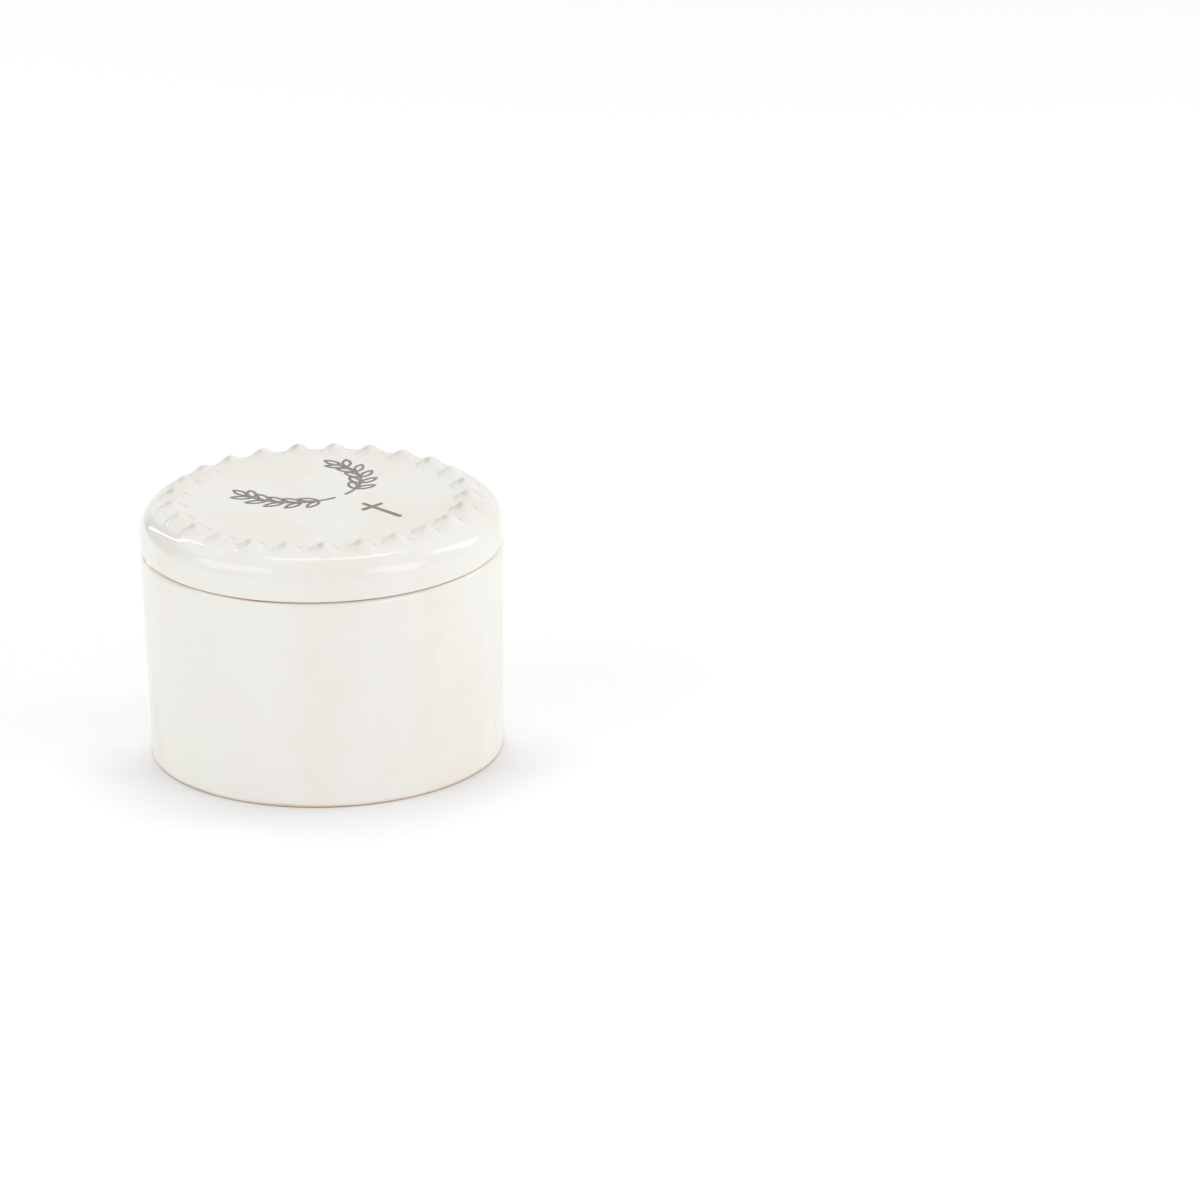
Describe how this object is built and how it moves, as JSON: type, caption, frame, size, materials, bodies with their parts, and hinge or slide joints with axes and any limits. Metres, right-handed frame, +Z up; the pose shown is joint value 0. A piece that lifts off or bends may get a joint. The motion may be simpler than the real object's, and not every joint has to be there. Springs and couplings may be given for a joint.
{
  "type": "round lidded keepsake box",
  "caption": "Round glazed ceramic box for a rosary, with a lift-off lid located by a flange, a ring of raised dots round its top and a printed cross and sprigs.",
  "frame": {"origin": "centre of the foot, on the surface that the box stands on", "axes": "+Z up along the box's axis, +X to the right and +Y to the back as the picture shows it"},
  "size_m": [0.0888, 0.0888, 0.0658],
  "materials": {
    "base_glaze": "pearly white gloss glaze over cream earthenware, bare at the rim and foot",
    "lid_glaze": "pearly white gloss glaze over cream earthenware, bare at the seat and flange",
    "print_ink": "warm grey ceramic print fired on the glaze"
  },
  "bodies": {
    "base": {"base": "base_glaze"},
    "lid": {"lid": "lid_glaze", "lid_print": "print_ink"}
  },
  "joints": [
    {"name": "lid_lift", "type": "slide", "parent": "base", "child": "lid", "axis": [0, 0, 1], "range_m": [0, 0.08]}
  ]
}
